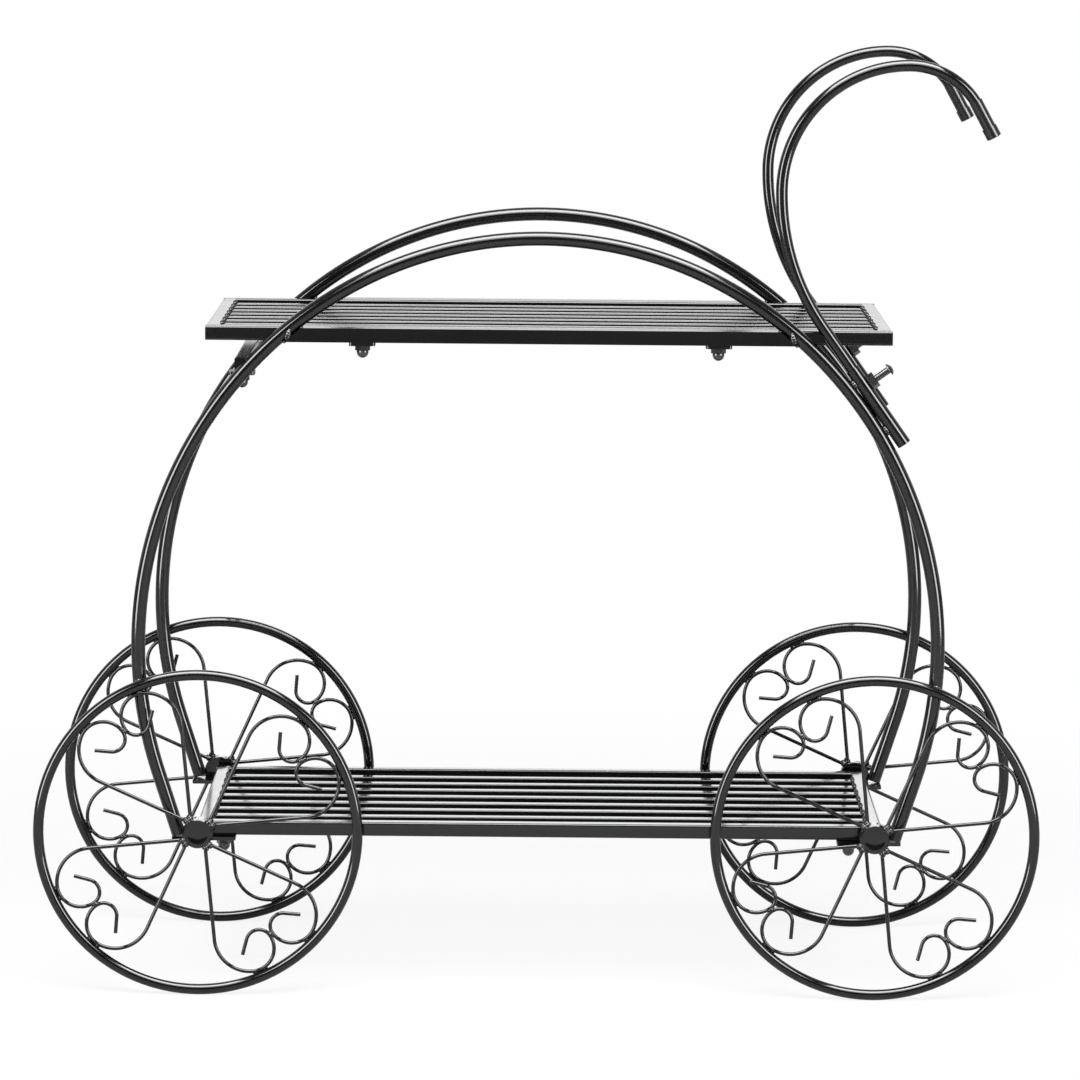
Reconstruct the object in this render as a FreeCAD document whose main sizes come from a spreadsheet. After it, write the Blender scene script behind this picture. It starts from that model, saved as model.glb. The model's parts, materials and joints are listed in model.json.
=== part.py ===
import FreeCAD, Part

import math
import os

import Sketcher
from FreeCAD import Placement, Rotation, Vector

# A two-tier flower cart stand of welded steel: two bent-tube arches stand in parallel
# planes, each on two scroll-spoked wheels, and carry two slatted shelves and a hooked
# push handle. +X is towards the handle, +Y away from the near arch, +Z up, floor at 0.

DIMENSIONS = {
    # bent tubes
    "tube_diameter": 12.0,
    "crown_radius": 328.2,
    "crown_half_angle": 35.0,
    "side_radius": 352.7,
    "leg_length": 56.235,        # straight end of the tube, below its bends
    "leg_tilt": 17.9,            # legs lean in towards the wheels
    "frame_spacing": 282.0,      # between the planes of the two arches
    # wheels
    "wheel_radius": 140.0,
    "wheel_inset": 17.81984,     # wheel centre inside the leg's centre line, level with it
    "rim_rod_diameter": 9.0,
    "hub_diameter": 26.0,
    "hub_edge": 1.5,
    "wire_diameter": 3.2,
    "spoke_angle": 30.0,         # each spoke from the middle line of its pair
    "spoke_start_angle": 7.2,    # place round the hub at which a spoke starts
    "curl_outer_radius": 30.0,
    "curl_middle_radius": 20.0,
    "curl_inner_radius": 11.0,
    "curl_outer_angle": 60.0,    # how far the outer bend runs past the pair's middle line
    "curl_middle_angle": 120.0,
    "curl_inner_angle": 130.0,
    "curl_tail": 14.0,
    "pair_turn": 35.6,           # middle line of the first pair above the horizontal
    # shelves
    "rail_size": 12.0,
    "rail_corner": 1.8,
    "upper_shelf_drop": 76.5,    # top of the shelf below the arches' centre line
    "upper_shelf_length": 579.0,
    "upper_shelf_shift": 7.0,    # the upper shelf sits a little towards the handle
    "lower_shelf_rise": 7.0,     # top of the shelf above the wheel centres
    "lower_shelf_reach": 4.0,    # half of the shelf's length beyond a wheel centre
    "lower_shelf_shift": 3.0,
    "slat_width": 10.0,
    "slat_height": 10.0,
    "slat_corner": 1.2,
    "slat_pitch": 31.4,
    "slat_drop": 1.5,            # slat tops below the rail tops
    # plates and fasteners
    "plate_thickness": 3.0,
    "plate_corner": 2.5,
    "tab_width": 22.0,
    "tab_setback": 1.0,          # outer edge of a tab inside the face of its chord rail
    "upper_stud_offset": 150.0,
    "bracket_width": 21.0,
    "bracket_overlap": 3.0,      # outer edge of a bracket beyond the arch's own plane
    "bracket_reach": 31.5,       # inner end of a bracket inside the wheel centre
    "lower_stud_inset": 21.0,    # stud inside the wheel centre
    "stud_diameter": 6.0,
    "stud_hole_diameter": 6.8,
    "nut_across_flats": 11.0,
    "nut_hex_height": 5.0,
    "nut_dome_height": 6.5,
    "nut_dome_radius": 5.0,
    # handle: a hooked tube clamped in a socket welded along the outside of each arch
    "handle_diameter": 10.0,
    "handle_angle": 35.5,        # where the socket lies along the arch, above the horizontal
    "socket_diameter": 12.0,
    "socket_bore": 10.2,
    "socket_length": 77.3,
    "socket_drop": 42.0,         # lower end of the socket below its joint with the arch
    "handle_inset": 6.0,         # lower end of the handle above that of the socket
    "handle_straight": 113.7,
    "handle_neck_radius": 198.0,
    "hook_radius": 105.5,
    "hook_front_radius": 66.0,
    "hook_front_angle": 61.3,
    "hook_tip": 27.0,
    "cap_length": 10.0,
    "cap_wall": 1.4,
    "cap_end": 1.5,
    "cap_round": 0.8,
    # clamp screw of each socket, in a nut welded to the outside of it
    "clamp_rise": 17.3,          # above the joint of socket and arch
    "clamp_nut_across_flats": 12.0,
    "clamp_nut_height": 6.0,
    "clamp_screw_length": 20.0,
    "clamp_head_diameter": 11.3,
    "clamp_head_height": 3.4,
    # cross bar between the two frames, under the left end of the upper shelf
    "cross_bar_drop": 14.5,      # top of the bar below the seat of the upper shelf
    "cross_stud_inset": 9.7,     # stud from the end of the cross bar
    # fits
    "shelf_clearance": 0.3,      # shelf rails and cross bar to the tubes beside them
    "weld_sink": 0.1,            # how far a welded round is pressed into its neighbour
}

# places that follow from the dimensions
FORMULAS = {
    "lower_shelf_top": "=wheel_radius + lower_shelf_rise",
    "leg_end_height": "=lower_shelf_top - rail_size"
                      " + (tube_diameter / 2 - weld_sink) * sin(leg_tilt * 1 deg)",
    "side_centre_x": "=(crown_radius - side_radius) * sin(crown_half_angle * 1 deg)",
    "side_centre_height": "=leg_end_height + leg_length * cos(leg_tilt * 1 deg)"
                          " + side_radius * sin(leg_tilt * 1 deg)",
    "crown_centre_height": "=side_centre_height"
                           " + (side_radius - crown_radius) * cos(crown_half_angle * 1 deg)",
    "leg_end_x": "=side_centre_x + side_radius * cos(leg_tilt * 1 deg)"
                 " - leg_length * sin(leg_tilt * 1 deg)",
    "wheel_offset": "=leg_end_x + (wheel_radius - leg_end_height) * tan(leg_tilt * 1 deg)"
                    " - wheel_inset",
    "lower_shelf_length": "=2 * (wheel_offset + lower_shelf_reach)",
    "lower_stud_offset": "=wheel_offset - lower_stud_inset",
    "upper_shelf_top": "=crown_centre_height + crown_radius - upper_shelf_drop",
}

DOCUMENT = FreeCAD.newDocument("flower_cart_stand")
SHEET = DOCUMENT.addObject("Spreadsheet::Sheet", "Dimensions")
for row, (name, value) in enumerate({**DIMENSIONS, **FORMULAS}.items(), start=1):
    SHEET.set("A%d" % row, name)
    SHEET.set("B%d" % row, str(value))
    SHEET.setAlias("B%d" % row, name)
DOCUMENT.recompute()

SIDES = {"left": -1, "right": 1}
DEPTHS = {"near": -1, "far": 1}
SUBPARTS = []


def size(name):
    """The present value of a named dimension."""
    return float(SHEET.get(name))


def cell(name):
    return "Dimensions." + name


# ---------------------------------------------------------------- derived places

TUBE_RADIUS = size("tube_diameter") / 2
ROD_RADIUS = size("rim_rod_diameter") / 2
WIRE_RADIUS = size("wire_diameter") / 2
HUB_RADIUS = size("hub_diameter") / 2
HANDLE_RADIUS = size("handle_diameter") / 2
SOCKET_RADIUS = size("socket_diameter") / 2
STUD_RADIUS = size("stud_diameter") / 2
SINK = size("weld_sink")
ARCH_Y = size("frame_spacing") / 2
WHEEL_Y = ARCH_Y + TUBE_RADIUS + ROD_RADIUS - SINK
RAIL = size("rail_size")
PLATE = size("plate_thickness")
CLEARANCE = size("shelf_clearance")
RAIL_Y = ARCH_Y - TUBE_RADIUS - CLEARANCE - RAIL / 2
UPPER_SEAT = size("upper_shelf_top") - RAIL
LOWER_SEAT = size("lower_shelf_top") - RAIL
CROWN_HALF = math.radians(size("crown_half_angle"))
LEG_TILT = math.radians(size("leg_tilt"))
CROWN_Z = size("crown_centre_height")
SIDE_X = size("side_centre_x")
SIDE_Z = size("side_centre_height")
LEG_END_X = size("leg_end_x")
LEG_END_Z = size("leg_end_height")
SLAT_COUNT = 7
LEVEL = 0.01                     # an edge rising less than this lies level


def arch_x(height, offset):
    """Half width of the arch at a height, measured to its centre line plus an offset."""
    crown = size("crown_radius") + offset
    if height >= CROWN_Z + crown * math.cos(CROWN_HALF):
        return math.sqrt(crown ** 2 - (height - CROWN_Z) ** 2)
    return SIDE_X + math.sqrt((size("side_radius") + offset) ** 2 - (height - SIDE_Z) ** 2)


# ---------------------------------------------------------------- building blocks

def finish(item, label, place=None):
    item.Label = label
    if place is not None:
        item.Placement = place
    SUBPARTS.append(item)
    return item


def new_body(name):
    body = DOCUMENT.addObject("PartDesign::Body", name)
    body.AllowCompound = True
    return body


def origin_feature(body, role):
    return next(item for item in body.Origin.OriginFeatures if item.Role == role)


def sketch_on(body, role, name):
    sketch = body.newObject("Sketcher::SketchObject", name)
    sketch.AttachmentSupport = (origin_feature(body, role), [""])
    sketch.MapMode = "FlatFace"
    return sketch


def dimension(sketch, kind, *where, value, bound=None):
    """Add a dimension, and bind it to a cell or an expression."""
    index = sketch.addConstraint(Sketcher.Constraint(kind, *where, value))
    if bound:
        sketch.setExpression("Constraints[%d]" % index, bound)
    return index


def pin(sketch, index, point, x, y):
    """Fix a point of a sketch by its two distances from the origin."""
    sketch.addConstraint(Sketcher.Constraint("DistanceX", -1, 1, index, point, x))
    sketch.addConstraint(Sketcher.Constraint("DistanceY", -1, 1, index, point, y))


def draw_chain(sketch, start, heading, moves):
    """Draw tangent lines and clockwise arcs. A move is (length, cell) for a line or
    (radius, cell, turn) for an arc, with the turn in degrees."""
    here = Vector(*start)
    previous = None
    for move in moves:
        ahead = Vector(math.cos(math.radians(heading)), math.sin(math.radians(heading)))
        if len(move) == 2:
            length, bound = move
            end = here + ahead * length
            index = sketch.addGeometry(Part.LineSegment(here, end), False)
            first, last = 1, 2
            if bound:
                dimension(sketch, "Distance", index, value=length, bound=bound)
        else:
            radius, bound, turn = move
            centre = here + Vector(ahead.y, -ahead.x) * radius
            from_angle = math.radians(heading + 90)
            to_angle = math.radians(heading + 90 - turn)
            circle = Part.Circle(centre, Vector(0, 0, 1), radius)
            index = sketch.addGeometry(Part.ArcOfCircle(circle, to_angle, from_angle), False)
            end = centre + Vector(math.cos(to_angle), math.sin(to_angle)) * radius
            first, last = 2, 1
            dimension(sketch, "Radius", index, value=radius, bound=bound)
            heading -= turn
        if previous is not None:
            sketch.addConstraint(Sketcher.Constraint("Tangent", *previous, index, first))
        previous = (index, last)
        here = end
    return here, heading


def pipe_along(body, path, diameter_cell, name):
    """A round bar along a path sketch, its section square to the path's first edge."""
    DOCUMENT.recompute()
    section = body.newObject("Sketcher::SketchObject", name + "_section")
    section.AttachmentSupport = (path, ["Edge1"])
    section.MapMode = "NormalToEdge"
    section.MapPathParameter = 0
    radius = size(diameter_cell) / 2
    ring = section.addGeometry(Part.Circle(Vector(), Vector(0, 0, 1), radius), False)
    section.addConstraint(Sketcher.Constraint("Coincident", ring, 3, -1, 1))
    dimension(section, "Diameter", ring, value=2 * radius, bound=cell(diameter_cell))
    DOCUMENT.recompute()
    pipe = body.newObject("PartDesign::AdditivePipe", name + "_pipe")
    pipe.Profile = section
    pipe.Spine = path
    body.Tip = pipe
    return pipe


def rounded_rectangle(sketch, width, height, corner):
    """A centred rectangle with round corners. Each size is (value, expression)."""
    half_x = width[0] / 2
    half_y = height[0] / 2
    radius = corner[0]
    corners = [(1, 1), (-1, 1), (-1, -1), (1, -1)]
    arcs = []
    for quarter, (sx, sy) in enumerate(corners):
        centre = Vector(sx * (half_x - radius), sy * (half_y - radius))
        circle = Part.Circle(centre, Vector(0, 0, 1), radius)
        start = quarter * math.pi / 2
        arcs.append(sketch.addGeometry(Part.ArcOfCircle(circle, start, start + math.pi / 2), False))
    for quarter, arc in enumerate(arcs):
        following = arcs[(quarter + 1) % 4]
        first = sketch.getPoint(arc, 2)
        second = sketch.getPoint(following, 1)
        line = sketch.addGeometry(Part.LineSegment(first, second), False)
        sketch.addConstraint(Sketcher.Constraint("Tangent", arc, 2, line, 1))
        sketch.addConstraint(Sketcher.Constraint("Tangent", line, 2, following, 1))
        direction = "Horizontal" if quarter % 2 == 0 else "Vertical"
        sketch.addConstraint(Sketcher.Constraint(direction, line))
        if quarter:
            sketch.addConstraint(Sketcher.Constraint("Equal", arcs[0], arc))
    dimension(sketch, "Radius", arcs[0], value=radius, bound=corner[1])
    dimension(sketch, "DistanceX", arcs[1], 2, arcs[0], 1, value=width[0], bound=width[1])
    dimension(sketch, "DistanceY", arcs[3], 1, arcs[0], 2, value=height[0], bound=height[1])
    sketch.addConstraint(Sketcher.Constraint("Symmetric", arcs[0], 3, arcs[2], 3, -1, 1))


def bar(label, role, width, height, corner, length, place):
    """A rounded bar standing up from one of the origin planes of its body."""
    body = new_body(label)
    sketch = sketch_on(body, role, label + "_section")
    rounded_rectangle(sketch, width, height, corner)
    pad = body.newObject("PartDesign::Pad", label + "_pad")
    pad.Profile = sketch
    pad.Length = length[0]
    pad.setExpression("Length", length[1])
    body.Tip = pad
    return finish(body, label, place)


def grouped(label, shapes):
    """Identical pieces that share one file, each a solid of its own."""
    group = DOCUMENT.addObject("Part::Feature", label)
    group.Shape = Part.makeCompound(shapes)
    return finish(group, label)


def copies(shape, places):
    made = []
    for place in places:
        piece = shape.copy()
        piece.Placement = place
        made.append(piece)
    return made


def corner_places(x_offset, y_offset, height):
    """One place in each of the four quarters of the stand."""
    return [Placement(Vector(sx * x_offset, sy * y_offset, height), Rotation())
            for sx in (-1, 1) for sy in (-1, 1)]


# ---------------------------------------------------------------- bent frames

def arch(depth):
    """Leg, side, crown, side, leg: one bent tube."""
    label = depth + "_arch"
    body = new_body(label)
    path = sketch_on(body, "XZ_Plane", label + "_path")
    side_turn = 90 + size("leg_tilt") - size("crown_half_angle")
    side = (size("side_radius"), cell("side_radius"), side_turn)
    crown = (size("crown_radius"), cell("crown_radius"), 2 * size("crown_half_angle"))
    bound_leg = (size("leg_length"), cell("leg_length"))
    equal_leg = (size("leg_length"), None)
    heading = 90 + size("leg_tilt")
    draw_chain(path, (-LEG_END_X, LEG_END_Z), heading,
               [bound_leg, side, crown, side, equal_leg])
    left_leg, left_side, top, right_side, right_leg = range(5)
    path.addConstraint(Sketcher.Constraint("Symmetric", left_leg, 1, right_leg, 2, -2))
    path.addConstraint(Sketcher.Constraint("Equal", left_leg, right_leg))
    dimension(path, "Angle", top, value=2 * CROWN_HALF,
              bound="2 deg * " + cell("crown_half_angle"))
    for index in (left_side, right_side):
        dimension(path, "Angle", index, value=math.radians(side_turn),
                  bound="1 deg * (90 + %s - %s)" % (cell("leg_tilt"), cell("crown_half_angle")))
    dimension(path, "DistanceY", -1, 1, left_leg, 1, value=LEG_END_Z,
              bound=cell("leg_end_height"))
    pipe_along(body, path, "tube_diameter", label)
    finish(body, label, Placement(Vector(0, DEPTHS[depth] * ARCH_Y, 0), Rotation()))


def chord_rail(depth):
    """The rail across the arch under the upper shelf, its ends cut to meet the tube."""
    label = depth + "_chord_rail"
    body = new_body(label)
    sketch = sketch_on(body, "XZ_Plane", label + "_side")
    top = size("upper_shelf_top")
    outline = [(-arch_x(UPPER_SEAT, SINK - TUBE_RADIUS), UPPER_SEAT),
               (arch_x(UPPER_SEAT, SINK - TUBE_RADIUS), UPPER_SEAT),
               (arch_x(top, SINK - TUBE_RADIUS), top),
               (-arch_x(top, SINK - TUBE_RADIUS), top)]
    for index, point in enumerate(outline):
        following = outline[(index + 1) % 4]
        sketch.addGeometry(Part.LineSegment(Vector(*point), Vector(*following)), False)
    for index in range(4):
        sketch.addConstraint(Sketcher.Constraint("Coincident", index, 2, (index + 1) % 4, 1))
    sketch.addConstraint(Sketcher.Constraint("Symmetric", 0, 1, 0, 2, -2))
    sketch.addConstraint(Sketcher.Constraint("Symmetric", 2, 1, 2, 2, -2))
    dimension(sketch, "DistanceY", 0, 1, 2, 2, value=RAIL, bound=cell("rail_size"))
    dimension(sketch, "DistanceY", -1, 1, 2, 2, value=top, bound=cell("upper_shelf_top"))
    dimension(sketch, "DistanceX", 0, 1, 0, 2, value=2 * outline[1][0])
    dimension(sketch, "DistanceX", 2, 2, 2, 1, value=2 * outline[2][0])
    pad = body.newObject("PartDesign::Pad", label + "_pad")
    pad.Profile = sketch
    pad.Length = RAIL
    pad.setExpression("Length", cell("rail_size"))
    body.Tip = pad
    finish(body, label, Placement(Vector(0, DEPTHS[depth] * ARCH_Y + RAIL / 2, 0), Rotation()))


# ---------------------------------------------------------------- wheels

def wheel_place(side, depth):
    return Vector(SIDES[side] * size("wheel_offset"), DEPTHS[depth] * WHEEL_Y,
                  size("wheel_radius"))


def rim(side, depth):
    torus = DOCUMENT.addObject("Part::Torus", "%s_%s_rim" % (depth, side))
    torus.setExpression("Radius1", "%s - %s / 2" % (cell("wheel_radius"),
                                                     cell("rim_rod_diameter")))
    torus.setExpression("Radius2", cell("rim_rod_diameter") + " / 2")
    upright = Rotation(Vector(1, 0, 0), 90)
    finish(torus, torus.Name, Placement(wheel_place(side, depth), upright))


def hub(side, depth):
    """A thick disc whose back just meets the side of the leg's end."""
    label = "%s_%s_hub" % (depth, side)
    axis_gap = (LEG_END_X - size("wheel_offset")
                + (size("wheel_radius") - LEG_END_Z) * math.tan(LEG_TILT)) * math.cos(LEG_TILT)
    reach = min(axis_gap - HUB_RADIUS, TUBE_RADIUS)
    back = ARCH_Y + math.sqrt(TUBE_RADIUS ** 2 - reach ** 2) - 2 * SINK
    front = WHEEL_Y + ROD_RADIUS
    body = new_body(label)
    sketch = sketch_on(body, "XY_Plane", label + "_disc")
    ring = sketch.addGeometry(Part.Circle(Vector(), Vector(0, 0, 1), HUB_RADIUS), False)
    sketch.addConstraint(Sketcher.Constraint("Coincident", ring, 3, -1, 1))
    dimension(sketch, "Diameter", ring, value=2 * HUB_RADIUS, bound=cell("hub_diameter"))
    pad = body.newObject("PartDesign::Pad", label + "_pad")
    pad.Profile = sketch
    pad.Length = front - back
    DOCUMENT.recompute()
    outer_edge = next("Edge%d" % (number + 1) for number, edge in enumerate(pad.Shape.Edges)
                      if edge.BoundBox.ZMin > (front - back) / 2)
    chamfer = body.newObject("PartDesign::Chamfer", label + "_edge")
    chamfer.Base = (pad, [outer_edge])
    chamfer.Size = size("hub_edge")
    chamfer.setExpression("Size", cell("hub_edge"))
    body.Tip = chamfer
    facing = Rotation(Vector(1, 0, 0), 90 if depth == "near" else -90)
    centre = wheel_place(side, depth)
    centre.y = DEPTHS[depth] * back
    finish(body, label, Placement(centre, facing))


def scroll_wire():
    """One spoke of a pair, in the plane of the wheel: straight out from the hub, round
    the curl against the rim, and back in to a short straight end. +X is the middle line
    of the pair. The spoke is as long as it takes for the curl to meet the rim."""
    heading = math.radians(size("spoke_angle"))
    start_angle = math.radians(size("spoke_start_angle"))
    start = Vector(math.cos(start_angle), math.sin(start_angle)) * (HUB_RADIUS - SINK)
    outer = size("curl_outer_radius")
    middle = size("curl_middle_radius")
    inner = size("curl_inner_radius")
    ahead = Vector(math.cos(heading), math.sin(heading))
    past = math.radians(size("curl_outer_angle"))
    outer_centre = start + Vector(ahead.y, -ahead.x) * outer
    leaving = Vector(math.sin(past), math.cos(past))
    middle_centre = outer_centre + leaving * (outer - middle)
    reach = size("wheel_radius") - size("rim_rod_diameter") - WIRE_RADIUS + SINK - middle
    along = middle_centre.dot(ahead)
    straight = -along + math.sqrt(along ** 2 + reach ** 2 - middle_centre.dot(middle_centre))
    moves = [("line", straight), ("arc", outer, past + heading),
             ("arc", middle, math.radians(size("curl_middle_angle"))),
             ("arc", inner, math.radians(size("curl_inner_angle"))),
             ("line", size("curl_tail"))]
    edges = []
    here = start
    for move in moves:
        ahead = Vector(math.cos(heading), math.sin(heading))
        if move[0] == "line":
            end = here + ahead * move[1]
            edges.append(Part.LineSegment(here, end).toShape())
        else:
            radius, turn = move[1:]
            centre = here + Vector(ahead.y, -ahead.x) * radius
            points = []
            for share in (0.5, 1.0):
                angle = heading + math.pi / 2 - share * turn
                points.append(centre + Vector(math.cos(angle), math.sin(angle)) * radius)
            edges.append(Part.Arc(here, points[0], points[1]).toShape())
            end = points[1]
            heading -= turn
        here = end
    section = Part.Wire(Part.Circle(start, Vector(1, 0, 0), WIRE_RADIUS).toShape())
    section.rotate(start, Vector(0, 0, 1), size("spoke_angle"))
    return Part.Wire(edges).makePipeShell([section], True, False)


def scrolls(side, depth, wire):
    """Four mirrored pairs of spokes, a quarter turn apart."""
    mirrored = wire.mirror(Vector(), Vector(0, 1, 0))
    shapes = []
    for quarter in range(4):
        turn = Rotation(Vector(0, -1, 0), size("pair_turn") + 90 * quarter)
        upright = Rotation(Vector(1, 0, 0), 90)
        place = Placement(wheel_place(side, depth), turn.multiply(upright))
        shapes += copies(wire, [place]) + copies(mirrored, [place])
    grouped("%s_%s_scrolls" % (depth, side), shapes)


# ---------------------------------------------------------------- shelves

def shelf(level):
    top = size(level + "_shelf_top")
    length = size(level + "_shelf_length")
    shift = size(level + "_shelf_shift")
    square = (RAIL, cell("rail_size"))
    corner = (size("rail_corner"), cell("rail_corner"))
    middle_z = top - RAIL / 2
    along_x = (length, cell(level + "_shelf_length"))
    for name, sign in (("front", -1), ("back", 1)):
        place = Placement(Vector(shift - length / 2, sign * RAIL_Y, middle_z), Rotation())
        bar("%s_shelf_%s_rail" % (level, name), "YZ_Plane", square, square, corner,
            along_x, place)
    between = 2 * RAIL_Y - RAIL
    between_expression = "%s - %s - 2 * %s - 2 * %s" % (
        cell("frame_spacing"), cell("tube_diameter"), cell("shelf_clearance"), cell("rail_size"))
    for name, sign in SIDES.items():
        centre_x = shift + sign * (length - RAIL) / 2
        place = Placement(Vector(centre_x, between / 2, middle_z), Rotation())
        bar("%s_shelf_%s_end_bar" % (level, name), "XZ_Plane", square, square, corner,
            (between, between_expression), place)
    slats(level, shift, length, top)


def slats(level, shift, length, top):
    """Bars between the end bars, evenly spaced about the middle."""
    label = level + "_shelf_slats"
    gaps = SLAT_COUNT - 1
    body = new_body(label)
    sketch = sketch_on(body, "YZ_Plane", label + "_section")
    rounded_rectangle(sketch, (size("slat_width"), cell("slat_width")),
                      (size("slat_height"), cell("slat_height")),
                      (size("slat_corner"), cell("slat_corner")))
    pad = body.newObject("PartDesign::Pad", label + "_pad")
    pad.Profile = sketch
    pad.Length = length - 2 * RAIL
    pad.setExpression("Length", "%s - 2 * %s" % (cell(level + "_shelf_length"),
                                                 cell("rail_size")))
    pattern = body.newObject("PartDesign::LinearPattern", label + "_row")
    pattern.Originals = [pad]
    pattern.Direction = (origin_feature(body, "Y_Axis"), [""])
    pattern.Occurrences = SLAT_COUNT
    pattern.Length = size("slat_pitch") * gaps
    pattern.setExpression("Length", "%s * %d" % (cell("slat_pitch"), gaps))
    body.Tip = pattern
    corner = Vector(shift - length / 2 + RAIL, -size("slat_pitch") * gaps / 2,
                    top - size("slat_drop") - size("slat_height") / 2)
    finish(body, label, Placement(corner, Rotation()))


# ---------------------------------------------------------------- plates and fasteners

def plate(name, length, width, hole):
    """A flat plate with round corners and a stud hole, centred on its own origin."""
    body = new_body(name)
    sketch = sketch_on(body, "XY_Plane", name + "_outline")
    rounded_rectangle(sketch, (length, None), (width, None),
                      (size("plate_corner"), cell("plate_corner")))
    radius = size("stud_hole_diameter") / 2
    ring = sketch.addGeometry(Part.Circle(Vector(*hole), Vector(0, 0, 1), radius), False)
    dimension(sketch, "Diameter", ring, value=2 * radius, bound=cell("stud_hole_diameter"))
    pin(sketch, ring, 3, *hole)
    pad = body.newObject("PartDesign::Pad", name + "_pad")
    pad.Profile = sketch
    pad.Length = PLATE
    pad.setExpression("Length", cell("plate_thickness"))
    body.Tip = pad
    DOCUMENT.recompute()
    return body.Shape


def mirrored_in_quarters(shape):
    """The piece of the right far quarter, and its mirror images in the other three."""
    left = shape.mirror(Vector(), Vector(1, 0, 0))
    pair = [shape, left]
    return pair + [piece.mirror(Vector(), Vector(0, 1, 0)) for piece in pair]


def moved(shape, x, y, z):
    piece = shape.copy()
    piece.Placement = Placement(Vector(x, y, z), Rotation())
    return piece


def upper_tabs():
    """Plates under the chord rails that reach in under the shelf's own rails."""
    outer = ARCH_Y + RAIL / 2 - size("tab_setback")
    inner = RAIL_Y - RAIL / 2
    middle = (outer + inner) / 2
    tab = plate("upper_tab", size("tab_width"), outer - inner, (0, RAIL_Y - middle))
    tab = moved(tab, size("upper_stud_offset"), middle, UPPER_SEAT - PLATE)
    grouped("upper_shelf_tabs", mirrored_in_quarters(tab))


def lower_brackets():
    """Plates under the leg ends that reach in under the lower shelf's rails."""
    outer_x = LEG_END_X + TUBE_RADIUS
    inner_x = size("wheel_offset") - size("bracket_reach")
    outer_y = ARCH_Y + size("bracket_overlap")
    middle_x = (outer_x + inner_x) / 2
    middle_y = outer_y - size("bracket_width") / 2
    bracket = plate("lower_bracket", outer_x - inner_x, size("bracket_width"),
                    (size("lower_stud_offset") - middle_x, RAIL_Y - middle_y))
    bracket = moved(bracket, middle_x, middle_y, LOWER_SEAT - PLATE)
    grouped("lower_shelf_brackets", mirrored_in_quarters(bracket))


def hexagon_prism(across_flats, height):
    """A hexagonal prism standing on z = 0."""
    corner = across_flats / math.sqrt(3)
    turns = [math.radians(60 * step) for step in range(7)]
    corners = [Vector(corner * math.cos(turn), corner * math.sin(turn), 0) for turn in turns]
    return Part.Face(Part.makePolygon(corners)).extrude(Vector(0, 0, height))


def stud_and_nut():
    """A stud that hangs from a rail's underside at z = 0, and the acorn nut on its end."""
    hex_height = size("nut_hex_height")
    dome_height = size("nut_dome_height")
    dome_radius = size("nut_dome_radius")
    seat = -PLATE - hex_height
    stud = Part.makeCylinder(STUD_RADIUS, -seat, Vector(0, 0, seat))
    nut = hexagon_prism(size("nut_across_flats"), hex_height)
    nut.translate(Vector(0, 0, seat))
    neck = Part.makeCylinder(dome_radius, dome_height - dome_radius, Vector(0, 0, seat),
                             Vector(0, 0, -1))
    ball = Part.makeSphere(dome_radius, Vector(0, 0, seat - dome_height + dome_radius),
                           Vector(0, 0, -1), 0, 90, 360)
    nut = nut.fuse([neck, ball]).removeSplitter()
    bore = Part.makeCylinder(STUD_RADIUS, hex_height, Vector(0, 0, seat))
    return stud, nut.cut(bore)


def stud_places():
    """Where the studs of the shelves and of the cross bar stand."""
    places = corner_places(size("upper_stud_offset"), RAIL_Y, UPPER_SEAT)
    places += corner_places(size("lower_stud_offset"), RAIL_Y, LOWER_SEAT)
    for sign in (-1, 1):
        places.append(Placement(Vector(CROSS_X, sign * CROSS_STUD_Y, CROSS_TAB_TOP), Rotation()))
    return places


def fasteners():
    stud, nut = stud_and_nut()
    grouped("studs", copies(stud, stud_places()))
    grouped("acorn_nuts", copies(nut, stud_places()))


# ---------------------------------------------------------------- handle and its sockets

HANDLE_ANGLE = math.radians(size("handle_angle"))
OUTWARD = Vector(math.cos(HANDLE_ANGLE), 0, math.sin(HANDLE_ANGLE))
UPWARD = Vector(-math.sin(HANDLE_ANGLE), 0, math.cos(HANDLE_ANGLE))
JOINT_REACH = size("side_radius") + TUBE_RADIUS + SOCKET_RADIUS - SINK
SOCKET_AXIS = Vector(SIDE_X, 0, SIDE_Z) + OUTWARD * JOINT_REACH


def in_socket(rise, sign):
    """A place on a socket's axis: z runs up the socket, x outward from the arch."""
    facing = Rotation(Vector(0, 1, 0), -size("handle_angle"))
    return Placement(SOCKET_AXIS + UPWARD * rise + Vector(0, sign * ARCH_Y, 0), facing)


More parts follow.
